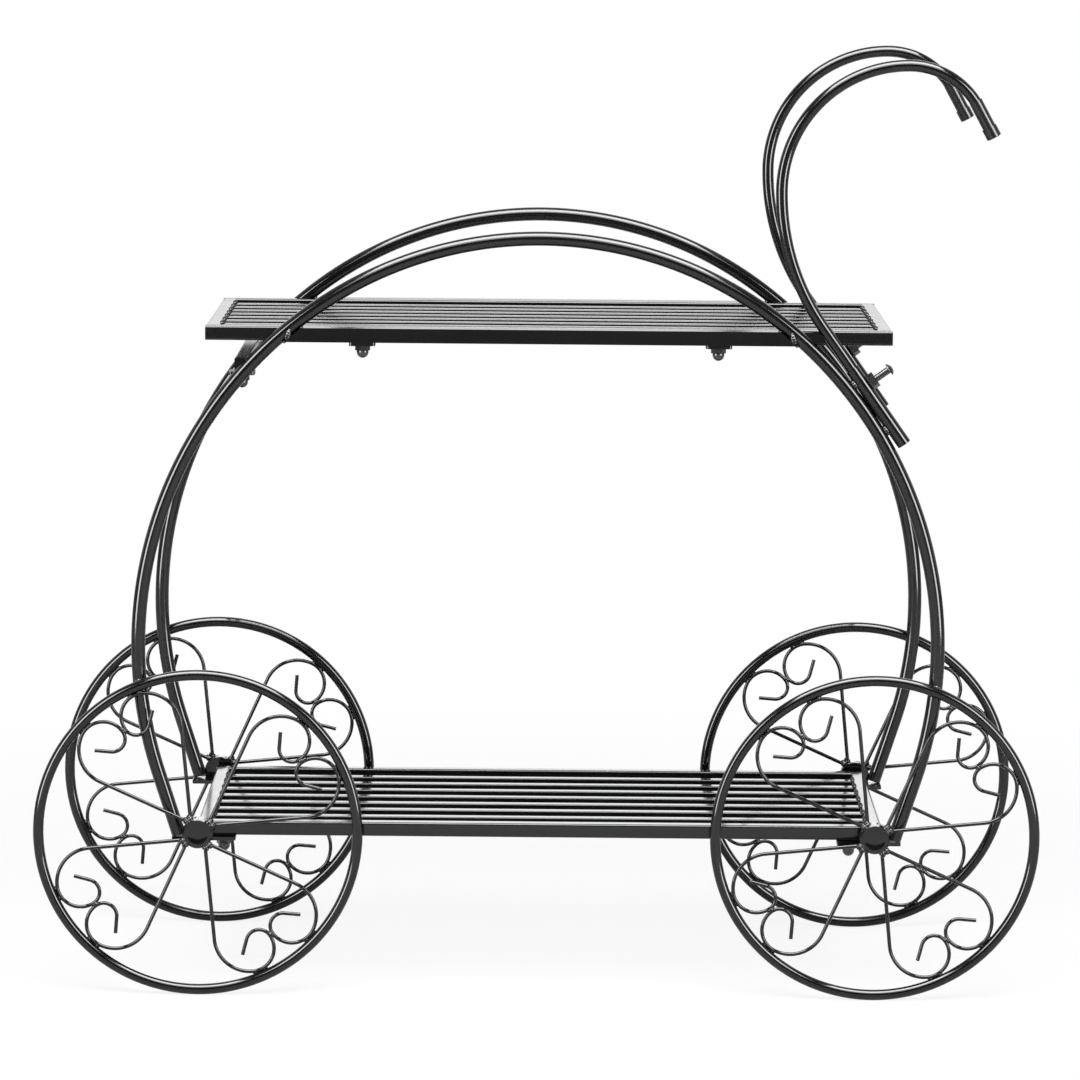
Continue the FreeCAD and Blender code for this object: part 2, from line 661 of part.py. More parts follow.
def sockets():
    """A short tube for each handle, with a hole for the point of its clamp screw."""
    body = new_body("socket")
    ring = sketch_on(body, "XY_Plane", "socket_ring")
    for edge in ("socket_diameter", "socket_bore"):
        circle = ring.addGeometry(Part.Circle(Vector(), Vector(0, 0, 1), size(edge) / 2), False)
        ring.addConstraint(Sketcher.Constraint("Coincident", circle, 3, -1, 1))
        dimension(ring, "Diameter", circle, value=size(edge), bound=cell(edge))
    pad = body.newObject("PartDesign::Pad", "socket_pad")
    pad.Profile = ring
    pad.Length = size("socket_length")
    pad.setExpression("Length", cell("socket_length"))
    DOCUMENT.recompute()
    hole = sketch_on(body, "YZ_Plane", "socket_clamp_hole")
    circle = hole.addGeometry(Part.Circle(Vector(), Vector(0, 0, 1), STUD_RADIUS), False)
    hole.addConstraint(Sketcher.Constraint("PointOnObject", circle, 3, -2))
    dimension(hole, "Diameter", circle, value=2 * STUD_RADIUS, bound=cell("stud_diameter"))
    dimension(hole, "DistanceY", -1, 1, circle, 3, value=size("socket_drop") + size("clamp_rise"),
              bound="%s + %s" % (cell("socket_drop"), cell("clamp_rise")))
    pocket = body.newObject("PartDesign::Pocket", "socket_clamp_pocket")
    pocket.Profile = hole
    pocket.Length = SOCKET_RADIUS
    pocket.Reversed = True
    pocket.setExpression("Length", cell("socket_diameter") + " / 2")
    body.Tip = pocket
    DOCUMENT.recompute()
    places = [in_socket(-size("socket_drop"), sign) for sign in (-1, 1)]
    grouped("handle_sockets", copies(body.Shape, places))


def handle(depth):
    """A bent tube: straight out of its socket, up through the neck and over the hook."""
    label = depth + "_handle"
    body = new_body(label)
    path = sketch_on(body, "XZ_Plane", label + "_path")
    start = SOCKET_AXIS - UPWARD * (size("socket_drop") - size("handle_inset"))
    heading = 90 + size("handle_angle")
    moves = [(size("handle_straight"), cell("handle_straight")),
             (size("handle_neck_radius"), cell("handle_neck_radius"), size("handle_angle")),
             (size("hook_radius"), cell("hook_radius"), 90),
             (size("hook_front_radius"), cell("hook_front_radius"), size("hook_front_angle")),
             (size("hook_tip"), cell("hook_tip"))]
    end, heading = draw_chain(path, (start.x, start.z), heading, moves)
    straight, neck, hook, front, tip = range(5)
    pin(path, straight, 1, start.x, start.z)
    dimension(path, "Angle", neck, value=HANDLE_ANGLE, bound="1 deg * " + cell("handle_angle"))
    dimension(path, "Angle", hook, value=math.pi / 2)
    dimension(path, "Angle", front, value=math.radians(size("hook_front_angle")),
              bound="1 deg * " + cell("hook_front_angle"))
    path.addConstraint(Sketcher.Constraint("Angle", straight, math.pi / 2 + HANDLE_ANGLE))
    pipe_along(body, path, "handle_diameter", label)
    finish(body, label, Placement(Vector(0, DEPTHS[depth] * ARCH_Y, 0), Rotation()))
    return Vector(end.x, 0, end.y), math.radians(heading)


def end_caps(end, heading):
    """A cup pushed over the tip of each hook."""
    inner = HANDLE_RADIUS
    outer = inner + size("cap_wall")
    end_thickness = size("cap_end")
    cup = Part.makeCylinder(outer, size("cap_length"), Vector(0, 0, end_thickness),
                            Vector(0, 0, -1))
    rim_edges = [edge for edge in cup.Edges if edge.BoundBox.ZLength < LEVEL
                 and edge.BoundBox.ZMax > end_thickness - LEVEL]
    cup = cup.makeFillet(size("cap_round"), rim_edges)
    cup = cup.cut(Part.makeCylinder(inner, size("cap_length"), Vector(), Vector(0, 0, -1)))
    along = Vector(math.cos(heading), 0, math.sin(heading))
    facing = Rotation(Vector(0, 0, 1), along)
    places = [Placement(end + Vector(0, sign * ARCH_Y, 0), facing) for sign in (-1, 1)]
    grouped("handle_end_caps", copies(cup, places))


def clamps():
    """The nut welded to the outside of each socket, and the screw that holds the handle."""
    foot = SOCKET_RADIUS - SINK
    height = size("clamp_nut_height")
    toward = Vector(1, 0, 0)
    nut = hexagon_prism(size("clamp_nut_across_flats"), height)
    nut = nut.cut(Part.makeCylinder(STUD_RADIUS, height))
    nut.rotate(Vector(), Vector(0, 1, 0), 90)
    nut.translate(toward * foot)
    # the underside of the nut is hollowed to sit on the round socket
    saddle = Part.makeCylinder(SOCKET_RADIUS, 4 * height, Vector(0, 0, -2 * height))
    reach = SOCKET_RADIUS - math.sqrt(SOCKET_RADIUS ** 2 - STUD_RADIUS ** 2)
    skirt = hexagon_prism(size("clamp_nut_across_flats"), reach)
    skirt = skirt.cut(Part.makeCylinder(STUD_RADIUS, reach))
    skirt.rotate(Vector(), Vector(0, 1, 0), 90)
    skirt.translate(toward * (foot - reach))
    nut = nut.fuse(skirt).cut(saddle).removeSplitter()
    length = size("clamp_screw_length")
    head_radius = size("clamp_head_diameter") / 2
    head_height = size("clamp_head_height")
    shank = Part.makeCylinder(STUD_RADIUS, length, toward * HANDLE_RADIUS, toward)
    # the pan head is a slice of a ball
    ball_radius = (head_radius ** 2 + head_height ** 2) / (2 * head_height)
    under_head = HANDLE_RADIUS + length
    ball = Part.makeSphere(ball_radius, toward * (under_head + head_height - ball_radius))
    slab = Part.makeCylinder(head_radius, head_height, toward * under_head, toward)
    screw = shank.fuse(ball.common(slab)).removeSplitter()
    places = [in_socket(size("clamp_rise"), sign) for sign in (-1, 1)]
    grouped("clamp_nuts", copies(nut, places))
    grouped("clamp_screws", copies(screw, places))


# ---------------------------------------------------------------- cross bar

CROSS_TAB_TOP = UPPER_SEAT - size("cross_bar_drop") - RAIL
CROSS_X = -arch_x(CROSS_TAB_TOP - PLATE / 2, 0)
CROSS_HALF = ARCH_Y - TUBE_RADIUS - CLEARANCE
CROSS_STUD_Y = CROSS_HALF - size("cross_stud_inset")


def cross_bar():
    """A square bar that ties the two arches, standing on a tab at each end."""
    square = (RAIL, cell("rail_size"))
    length = "%s - %s - 2 * %s" % (cell("frame_spacing"), cell("tube_diameter"),
                                   cell("shelf_clearance"))
    place = Placement(Vector(CROSS_X, CROSS_HALF, CROSS_TAB_TOP + RAIL / 2), Rotation())
    bar("cross_bar", "XZ_Plane", square, square, (size("rail_corner"), cell("rail_corner")),
        (2 * CROSS_HALF, length), place)
    outer = CROSS_HALF + CLEARANCE + SINK
    inner = CROSS_HALF - 2 * size("cross_stud_inset")
    middle = (outer + inner) / 2
    tab = plate("cross_bar_tab", size("tab_width"), outer - inner, (0, CROSS_STUD_Y - middle))
    tab = moved(tab, CROSS_X, middle, CROSS_TAB_TOP - PLATE)
    grouped("cross_bar_tabs", [tab, tab.mirror(Vector(), Vector(0, 1, 0))])


# ---------------------------------------------------------------- the whole stand

wire = scroll_wire()
for depth_name in DEPTHS:
    arch(depth_name)
    chord_rail(depth_name)
    for side_name in SIDES:
        rim(side_name, depth_name)
        hub(side_name, depth_name)
        scrolls(side_name, depth_name, wire)
for shelf_level in ("upper", "lower"):
    shelf(shelf_level)
upper_tabs()
lower_brackets()
cross_bar()
fasteners()
sockets()
for depth_name in DEPTHS:
    hook_end, hook_heading = handle(depth_name)
end_caps(hook_end, hook_heading)
clamps()
DOCUMENT.recompute()

for item in DOCUMENT.Objects:
    faults = [state for state in item.State if state in ("Invalid", "Error")]
    if faults:
        raise RuntimeError("%s: %s" % (item.Label, faults))
os.makedirs("parts", exist_ok=True)
for item in SUBPARTS:
    if item.Shape.isNull() or not item.Shape.isValid():
        raise RuntimeError(item.Label + " has no valid shape")
for item in SUBPARTS:
    item.Shape.exportStep("parts/%s.step" % item.Label)
    print("%-28s %2d solids %10.1f mm3" % (item.Label, len(item.Shape.Solids),
                                           item.Shape.Volume))
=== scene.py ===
import json
import math

import bpy
from mathutils import Matrix, Vector


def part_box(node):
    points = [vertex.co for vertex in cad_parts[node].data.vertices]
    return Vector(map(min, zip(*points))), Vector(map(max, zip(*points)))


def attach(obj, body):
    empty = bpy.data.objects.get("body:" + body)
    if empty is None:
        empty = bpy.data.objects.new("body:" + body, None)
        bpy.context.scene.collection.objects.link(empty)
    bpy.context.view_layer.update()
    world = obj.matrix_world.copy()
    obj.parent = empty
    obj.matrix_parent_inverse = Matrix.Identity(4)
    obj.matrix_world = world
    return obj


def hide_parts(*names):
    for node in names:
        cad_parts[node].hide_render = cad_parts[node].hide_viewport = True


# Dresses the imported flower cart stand: evenly swept tubes and wires in place of the packed
# ones, weld beads, black paint, a pale studio and the photograph's camera. Metres throughout.

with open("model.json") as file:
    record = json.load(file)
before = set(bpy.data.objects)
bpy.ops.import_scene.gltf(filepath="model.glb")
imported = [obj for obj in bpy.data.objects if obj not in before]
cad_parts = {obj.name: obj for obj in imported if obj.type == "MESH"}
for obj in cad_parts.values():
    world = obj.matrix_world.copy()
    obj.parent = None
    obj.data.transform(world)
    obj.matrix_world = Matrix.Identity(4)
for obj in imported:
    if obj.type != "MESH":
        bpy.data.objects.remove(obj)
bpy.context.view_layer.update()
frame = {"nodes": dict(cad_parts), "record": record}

# ---------------------------------------------------------------- sizes

# hoops
ARCH_HEIGHT = 0.647                     # centre line of the crown above the ground
CROWN_RADIUS = 0.3282
CROWN_HALF_ANGLE = math.radians(35.0)
SIDE_RADIUS = 0.3527
LEG_TILT = math.radians(17.9)           # legs lean in towards the wheels
TUBE_WALL = 0.001

# hooked handles and the sockets that hold them
HANDLE_ANGLE = math.radians(35.5)       # where a socket lies along its hoop
HANDLE_DROP = 0.036                     # lower end of a handle below the socket's joint
HANDLE_STRAIGHT = 0.1137
HANDLE_NECK_RADIUS = 0.198
HOOK_RADIUS = 0.1055
HOOK_FRONT_RADIUS = 0.066
HOOK_FRONT_ANGLE = math.radians(61.3)
HOOK_TIP = 0.027
SOCKET_RADIUS = 0.006
SLEEVE_LENGTH = 0.033
SLEEVE_SETBACK = 0.0007
SLEEVE_WALL = 0.0006

# wheels
PAIR_TURN = math.radians(35.6)          # middle line of the first pair above the horizontal
SPOKE_ANGLE = math.radians(30.0)        # each spoke from the middle line of its pair
SPOKE_START = math.radians(7.2)         # place round the hub at which a spoke starts
CURL_RADII = (0.030, 0.020, 0.011)
CURL_TURNS = (math.radians(60.0) + SPOKE_ANGLE, math.radians(120.0), math.radians(130.0))
CURL_TAIL = 0.014
HUB_EDGE = 0.0015
DISH_RADIUS = 0.0085
DISH_EDGE = 0.0007
DISH_FLOOR = 0.0051
DISH_DEPTH = 0.0008

# shelves
SLAT_COUNT = 7
SLAT_WIDTH = 0.010

# fineness of the meshes
RING_SIDES = 40
RIM_STEPS = 180
ARC_STEP = math.radians(1.5)

DEPTHS = {"near": -1, "far": 1}
SIDES = {"left": -1, "right": 1}


def middle(node):
    low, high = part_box(node)
    return (Vector(low) + Vector(high)) / 2


def extent(node):
    low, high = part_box(node)
    return Vector(high) - Vector(low)


ARCH_Y = middle("far_arch").y
TUBE_RADIUS = extent("far_arch").y / 2
HANDLE_RADIUS = extent("far_handle").y / 2
WIRE_RADIUS = extent("far_left_scrolls").y / 2
ROD_RADIUS = extent("far_left_rim").y / 2
WHEEL_RADIUS = extent("far_left_rim").x / 2
HUB_RADIUS = extent("far_left_hub").x / 2
RAIL = extent("near_chord_rail").z
UPPER_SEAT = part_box("near_chord_rail")[0][2]
CROWN_Z = ARCH_HEIGHT - CROWN_RADIUS
SIDE_X = -(SIDE_RADIUS - CROWN_RADIUS) * math.sin(CROWN_HALF_ANGLE)
SIDE_Z = CROWN_Z - (SIDE_RADIUS - CROWN_RADIUS) * math.cos(CROWN_HALF_ANGLE)

# ---------------------------------------------------------------- materials

# scale and detail of the noise that clouds the tone and patches the gloss
CLOUDS = (9.0, 4.0)
PATCHES = (35.0, 5.0)
GRAIN_DETAIL = 2.0
GRAIN_HEIGHT = 0.0003
TONE_EDGES = (0.35, 0.65)

BLACK = (0.0024, 0.0024, 0.0027)
SOFT_BLACK = (0.0046, 0.0046, 0.0050)
STEEL_BLACK = (0.0080, 0.0080, 0.0090)
WORN_BLACK = (0.0200, 0.0200, 0.0210)


def value_range(tree, source, low, high, start=0.0, end=1.0):
    """Spread a value that runs from start to end between low and high."""
    spread = tree.nodes.new("ShaderNodeMapRange")
    spread.inputs["From Min"].default_value = start
    spread.inputs["From Max"].default_value = end
    spread.inputs["To Min"].default_value = low
    spread.inputs["To Max"].default_value = high
    tree.links.new(source, spread.inputs["Value"])
    return spread.outputs["Result"]


def noise(tree, scale, detail):
    place = tree.nodes.new("ShaderNodeTexCoord")
    texture = tree.nodes.new("ShaderNodeTexNoise")
    texture.inputs["Scale"].default_value = scale
    texture.inputs["Detail"].default_value = detail
    tree.links.new(place.outputs["Object"], texture.inputs["Vector"])
    return texture.outputs["Fac"]


def coated(name, dark, light, roughness, ior, grain, bump):
    """Paint, metal or plastic between two tones and two roughnesses, with a fine grain."""
    material = bpy.data.materials.new(name)
    material.use_nodes = True
    tree = material.node_tree
    shader = tree.nodes["Principled BSDF"]
    shader.inputs["IOR"].default_value = ior
    tone = tree.nodes.new("ShaderNodeValToRGB")
    for stop, colour, position in zip(tone.color_ramp.elements, (dark, light), TONE_EDGES):
        stop.color = (*colour, 1)
        stop.position = position
    tree.links.new(noise(tree, *CLOUDS), tone.inputs["Fac"])
    tree.links.new(tone.outputs["Color"], shader.inputs["Base Color"])
    gloss = value_range(tree, noise(tree, *PATCHES), *roughness)
    tree.links.new(gloss, shader.inputs["Roughness"])
    bumps = tree.nodes.new("ShaderNodeBump")
    bumps.inputs["Strength"].default_value = bump
    bumps.inputs["Distance"].default_value = GRAIN_HEIGHT
    tree.links.new(noise(tree, grain, GRAIN_DETAIL), bumps.inputs["Height"])
    tree.links.new(bumps.outputs["Normal"], shader.inputs["Normal"])
    return material


# tones, roughnesses, index of refraction, fineness of the grain and strength of its bumps
MATERIALS = {
    "frame_paint": coated("frame_paint", BLACK, SOFT_BLACK, (0.06, 0.12), 1.42, 900, 0.03),
    "shelf_paint": coated("shelf_paint", BLACK, SOFT_BLACK, (0.10, 0.18), 1.42, 900, 0.015),
    "hardware": coated("hardware", STEEL_BLACK, WORN_BLACK, (0.14, 0.28), 1.60, 1500, 0.12),
    "cap_plastic": coated("cap_plastic", BLACK, SOFT_BLACK, (0.18, 0.28), 1.45, 700, 0.06),
}

for entry in frame["record"]["subparts"]:
    node = frame["nodes"][entry["node"]]
    # the flat bars of the shelves are a little less glossy than the tubes
    on_shelf = entry["node"].startswith(("upper_shelf", "lower_shelf"))
    paint = MATERIALS["shelf_paint" if on_shelf else entry["material_slot"]]
    for index in range(len(node.material_slots)):
        node.material_slots[index].link = "OBJECT"
        node.material_slots[index].material = paint

# ---------------------------------------------------------------- mesh helpers


def piece(name, shape, slot="frame_paint"):
    """A smooth shaded mesh that rides on the stand. A shape is its vertices, its faces and
    the rings of vertices whose edges stay sharp."""
    vertices, faces, sharp_rings = shape
    mesh = bpy.data.meshes.new(name)
    mesh.from_pydata([tuple(vertex) for vertex in vertices], [], faces)
    mesh.update()
    mesh.polygons.foreach_set("use_smooth", [True] * len(mesh.polygons))
    rings = [set(one) for one in sharp_rings]
    for edge in mesh.edges:
        first, second = edge.vertices
        if any(first in one and second in one for one in rings):
            edge.use_edge_sharp = True
    mesh.materials.append(MATERIALS[slot])
    item = bpy.data.objects.new(name, mesh)
    bpy.context.scene.collection.objects.link(item)
    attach(item, "root")
    return item


def chain(start, heading, moves):
    """Points and headings in the X-Z plane along tangent lines and clockwise arcs. A move
    is (length, 0) for a line or (radius, turn) for an arc."""
    here = Vector((start[0], start[1]))
    line = [(here, heading)]
    for size, turn in moves:
        if turn == 0:
            here = here + Vector((math.cos(heading), math.sin(heading))) * size
            line.append((here, heading))
            continue
        centre = here + Vector((math.sin(heading), -math.cos(heading))) * size
        steps = max(2, math.ceil(turn / ARC_STEP))
        for step in range(1, steps + 1):
            angle = heading + math.pi / 2 - turn * step / steps
            here = centre + Vector((math.cos(angle), math.sin(angle))) * size
            line.append((here, heading - turn * step / steps))
        heading -= turn
    return line


def ring(centre, heading, y, radius):
    """A circle of vertices square to a heading in the X-Z plane."""
    across = Vector((-math.sin(heading), 0, math.cos(heading)))
    deep = Vector((0, 1, 0))
    core = Vector((centre.x, y, centre.y))
    turns = [2 * math.pi * step / RING_SIDES for step in range(RING_SIDES)]
    return [core + across * math.cos(turn) * radius + deep * math.sin(turn) * radius
            for turn in turns]


def ring_range(index):
    """The vertex numbers of one ring of a mesh that is built ring by ring."""
    return range(index * RING_SIDES, (index + 1) * RING_SIDES)


def skin(count, closed=False):
    """Quads between rings of vertices that follow each other."""
    faces = []
    for index in range(count if closed else count - 1):
        first = index * RING_SIDES
        second = (index + 1) % count * RING_SIDES
        for step in range(RING_SIDES):
            after = (step + 1) % RING_SIDES
            faces.append((first + step, second + step, second + after, first + after))
    return faces


def swept(line, y, radius, wall=0):
    """The shape of a bar swept along a line. With a wall, its ends are open and show the
    bore to a depth of three radii."""
    sections = [ring(point, heading, y, radius) for point, heading in line]
    if wall:
        lip = radius - wall
        depth = 3 * radius
        first_point, first_heading = line[0]
        last_point, last_heading = line[-1]
        inward = Vector((math.cos(first_heading), math.sin(first_heading))) * depth
        backward = Vector((math.cos(last_heading), math.sin(last_heading))) * depth
        sections.insert(0, ring(first_point, first_heading, y, lip))
        sections.insert(0, ring(first_point + inward, first_heading, y, lip))
        sections.append(ring(last_point, last_heading, y, lip))
        sections.append(ring(last_point - backward, last_heading, y, lip))
    count = len(sections)
    vertices = [vertex for section in sections for vertex in section]
    faces = skin(count)
    faces.append(tuple(ring_range(0)))
    faces.append(tuple(reversed(ring_range(count - 1))))
    edges = [1, 2, count - 3, count - 2] if wall else [0, count - 1]
    return vertices, faces, [ring_range(edge) for edge in edges]


def joined(shapes):
    """Several shapes as one."""
    vertices, faces, rings = [], [], []
    for more_vertices, more_faces, more_rings in shapes:
        offset = len(vertices)
        vertices += more_vertices
        faces += [tuple(index + offset for index in face) for face in more_faces]
        rings += [[index + offset for index in one] for one in more_rings]
    return vertices, faces, rings


# ---------------------------------------------------------------- bent tubes


def arch_line():
    """Leg, side, crown, side and leg of a hoop."""
    side_turn = math.pi / 2 + LEG_TILT - CROWN_HALF_ANGLE
    foot_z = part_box("near_arch")[0][2] + TUBE_RADIUS * math.sin(LEG_TILT)
    top_x = SIDE_X + SIDE_RADIUS * math.cos(LEG_TILT)
    top_z = SIDE_Z - SIDE_RADIUS * math.sin(LEG_TILT)
    length = (top_z - foot_z) / math.cos(LEG_TILT)
    foot_x = top_x - length * math.sin(LEG_TILT)
    leg = (length, 0)
    side = (SIDE_RADIUS, side_turn)
    crown = (CROWN_RADIUS, 2 * CROWN_HALF_ANGLE)
    return chain((-foot_x, foot_z), math.pi / 2 + LEG_TILT, [leg, side, crown, side, leg])


def joint_point(distance):
    """A point on the line from the side arc's centre out through the socket's joint, at a
    distance outside the hoop's centre line."""
    reach = SIDE_RADIUS + distance
    return Vector((SIDE_X + reach * math.cos(HANDLE_ANGLE), SIDE_Z + reach * math.sin(HANDLE_ANGLE)))


def handle_line():
    """From inside the socket up through the neck and over the hook."""
    heading = math.pi / 2 + HANDLE_ANGLE
    upward = Vector((math.cos(heading), math.sin(heading)))
    start = joint_point(TUBE_RADIUS + SOCKET_RADIUS) - upward * HANDLE_DROP
    return chain(start, heading, [
        (HANDLE_STRAIGHT, 0), (HANDLE_NECK_RADIUS, HANDLE_ANGLE), (HOOK_RADIUS, math.pi / 2),
        (HOOK_FRONT_RADIUS, HOOK_FRONT_ANGLE), (HOOK_TIP, 0)])


for depth, sign in DEPTHS.items():
    plane = sign * ARCH_Y
    hoop = piece(depth + "_hoop_tube", swept(arch_line(), plane, TUBE_RADIUS, TUBE_WALL))
    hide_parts(depth + "_arch")
    grip = piece(depth + "_handle_tube", swept(handle_line(), plane, HANDLE_RADIUS))
    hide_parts(depth + "_handle")
    tip, heading = handle_line()[-1]
    back = Vector((math.cos(heading), math.sin(heading)))
    sleeve = [(tip - back * SLEEVE_LENGTH, heading), (tip - back * SLEEVE_SETBACK, heading)]
    piece(depth + "_handle_sleeve", swept(sleeve, plane, HANDLE_RADIUS + SLEEVE_WALL), "cap_plastic")

# ---------------------------------------------------------------- wheels


def rim_shape(centre):
    """A round rod bent to a ring."""
    radius = WHEEL_RADIUS - ROD_RADIUS
    vertices = []
    for step in range(RIM_STEPS):
        turn = 2 * math.pi * step / RIM_STEPS
        point = Vector((centre.x + radius * math.cos(turn), centre.z + radius * math.sin(turn)))
        vertices += ring(point, turn + math.pi / 2, centre.y, ROD_RADIUS)
    return vertices, skin(RIM_STEPS, closed=True), []


def hub_shape(depth, prefix):
    """A disc with a broken edge and a dished face, turned about the wheel's axis."""
    low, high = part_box(prefix + "hub")
    outward = DEPTHS[depth]
    back = low[1] if outward > 0 else high[1]
    centre = middle(prefix + "hub")
    front = high[1] - low[1]
    # radius and rise of each ring, from the back to the floor of the dish
    profile = [(HUB_RADIUS - HUB_EDGE / 3, 0), (HUB_RADIUS, HUB_EDGE / 3),
               (HUB_RADIUS, front - HUB_EDGE), (HUB_RADIUS - HUB_EDGE, front),
               (DISH_RADIUS + DISH_EDGE, front), (DISH_RADIUS - DISH_EDGE, front - DISH_DEPTH / 2),
               (DISH_FLOOR, front - DISH_DEPTH)]
    vertices = []
    for radius, rise in profile:
        for step in range(RING_SIDES):
            turn = 2 * math.pi * step / RING_SIDES
            vertices.append(Vector((centre.x + radius * math.cos(turn), back + outward * rise,
                                    centre.z + radius * math.sin(turn))))
    rings = [ring_range(index) for index in range(len(profile))]
    faces = skin(len(profile))
    faces += [tuple(rings[0]), tuple(reversed(rings[-1]))]
    if outward > 0:
        faces = [tuple(reversed(face)) for face in faces]
    return vertices, faces, rings[:-2]


def spoke_line():
    """One spoke and its curl, with the middle line of its pair along +X."""
    start = Vector((math.cos(SPOKE_START), math.sin(SPOKE_START))) * HUB_RADIUS
    outer, inner = CURL_RADII[0], CURL_RADII[1]
    ahead = Vector((math.cos(SPOKE_ANGLE), math.sin(SPOKE_ANGLE)))
    leaving = math.pi / 2 - (CURL_TURNS[0] - SPOKE_ANGLE)
    # the straight is as long as puts the middle bend against the rim
    curl = start + Vector((ahead.y, -ahead.x)) * outer
    curl += Vector((math.cos(leaving), math.sin(leaving))) * (outer - inner)
    reach = WHEEL_RADIUS - 2 * ROD_RADIUS - WIRE_RADIUS - inner
    along = curl.dot(ahead)
    straight = -along + math.sqrt(along ** 2 + reach ** 2 - curl.dot(curl))
    moves = [(straight, 0)] + list(zip(CURL_RADII, CURL_TURNS)) + [(CURL_TAIL, 0)]
    return chain(start, SPOKE_ANGLE, moves)


def pair_turn(quarter):
    return PAIR_TURN + quarter * math.pi / 2


def wheel_point(centre, quarter, mirrored, point):
    """A point of a spoke's own plane, placed in its wheel."""
    turn = pair_turn(quarter)
    x = point.x * math.cos(turn) - mirrored * point.y * math.sin(turn)
    z = point.x * math.sin(turn) + mirrored * point.y * math.cos(turn)
    return Vector((centre.x + x, centre.y, centre.z + z))


def scroll_shape(centre):
    """Four mirrored pairs of spokes."""
    wires = []
    for quarter in range(4):
        for mirrored in (1, -1):
            placed = []
            for point, heading in spoke_line():
                spot = wheel_point(centre, quarter, mirrored, point)
                placed.append((spot.xz, pair_turn(quarter) + mirrored * heading))
            wires.append(swept(placed, centre.y, WIRE_RADIUS))
    return joined(wires)


for depth in DEPTHS:
    for side in SIDES:
        prefix = "%s_%s_" % (depth, side)
        rim = piece(prefix + "rim_rod", rim_shape(middle(prefix + "rim")))
        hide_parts(prefix + "rim")
        scrolls = piece(prefix + "scroll_wires", scroll_shape(middle(prefix + "scrolls")))
        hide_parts(prefix + "scrolls")
        hub = piece(prefix + "hub_disc", hub_shape(depth, prefix))
        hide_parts(prefix + "hub")

# ---------------------------------------------------------------- weld beads

BEAD_SIDES = 10
BEAD_STEPS = 20
BEAD_TAPER = 0.05               # share of a half wave that each end is cut short by
BEAD_FULLNESS = 0.6             # under 1, a bead keeps its width further towards its ends
RIPPLE_LENGTH = 0.0022
RIPPLE_SHARE = 0.10             # of the bead's radius

# length and radius of each kind of bead
CHORD_EDGE_BEAD = (0.9 * RAIL, 0.0016)
CHORD_FACE_BEAD = (0.9 * RAIL, 0.0034)
SOCKET_BEAD = (0.0085, 0.0025)
RIM_BEAD = (0.0080, 0.0022)
PAIR_BEAD = (0.0070, 0.0021)
CURL_BEAD = (0.0052, 0.0014)
ROOT_BEAD = (0.0085, 0.0031)
SLAT_TOP_BEAD = (0.55 * SLAT_WIDTH, 0.0021)
SLAT_SIDE_BEAD = (0.0080, 0.0013)

# where they lie
CHORD_BEAD_DEPTH = 0.75 * TUBE_RADIUS       # from the hoop's plane
CHORD_BEAD_INSET = 0.6 * TUBE_RADIUS        # inside the hoop's centre line
CHORD_BEAD_LEAN = 0.3
SOCKET_BEAD_DEPTH = 0.0034
SOCKET_BEAD_RISE = 0.0235                   # above and below the joint
RIM_BEAD_SHIFT = 0.75 * ROD_RADIUS          # to each side of the rod's centre line
CURL_BEAD_SHIFT = 0.0042
CURL_BEAD_REACH = 1.006                     # of the way from the hub's middle to the wire
ROOT_BEAD_REACH = 1.03                      # of the way from the hub's middle to the wire's root
ROOT_BEAD_AHEAD = 1.5                       # a place further out, which the bead points to
ROOT_BEAD_LIFT = 0.0014
SLAT_TOP_SHIFT = 0.32 * SLAT_WIDTH
SLAT_TOP_LIFT = 0.0002
SLAT_SIDE_DROP = 0.0045


def bead_shape(centre, along, length, radius):
    """A rippled weld bead that tapers at both ends."""
    along = Vector(along).normalized()
    helper = Vector((1, 0, 0)) if abs(along.y) > 0.7 else Vector((0, 1, 0))
    side = along.cross(helper).normalized()
    third = along.cross(side)
    vertices = []
    for step in range(BEAD_STEPS + 1):
        share = step / BEAD_STEPS
        swell = math.sin(math.pi * (BEAD_TAPER + (1 - 2 * BEAD_TAPER) * share)) ** BEAD_FULLNESS
        ripple = 1 + RIPPLE_SHARE * math.sin(share * length * 2 * math.pi / RIPPLE_LENGTH)
        spot = Vector(centre) + along * (share - 0.5) * length
        for turn in range(BEAD_SIDES):
            angle = 2 * math.pi * turn / BEAD_SIDES
            off = side * math.cos(angle) + third * math.sin(angle)
            vertices.append(spot + off * radius * swell * ripple)
    faces = []
    for step in range(BEAD_STEPS):
        for turn in range(BEAD_SIDES):
            after = (turn + 1) % BEAD_SIDES
            first, second = step * BEAD_SIDES, (step + 1) * BEAD_SIDES
            faces.append((first + turn, first + after, second + after, second + turn))
    last = BEAD_STEPS * BEAD_SIDES
    faces.append(tuple(reversed(range(BEAD_SIDES))))
    faces.append(tuple(range(last, last + BEAD_SIDES)))
    return vertices, faces, []


def beads(name, places):
    """Weld beads as one piece. Each place is (centre, direction, length, radius)."""
    return piece(name, joined([bead_shape(*place) for place in places]))


def arch_x(height, offset):
    """Half width of the hoop at a height, to its centre line plus an offset."""
    crown = CROWN_RADIUS + offset
    if height >= CROWN_Z + crown * math.cos(CROWN_HALF_ANGLE):
        return math.sqrt(crown ** 2 - (height - CROWN_Z) ** 2)
    return SIDE_X + math.sqrt((SIDE_RADIUS + offset) ** 2 - (height - SIDE_Z) ** 2)


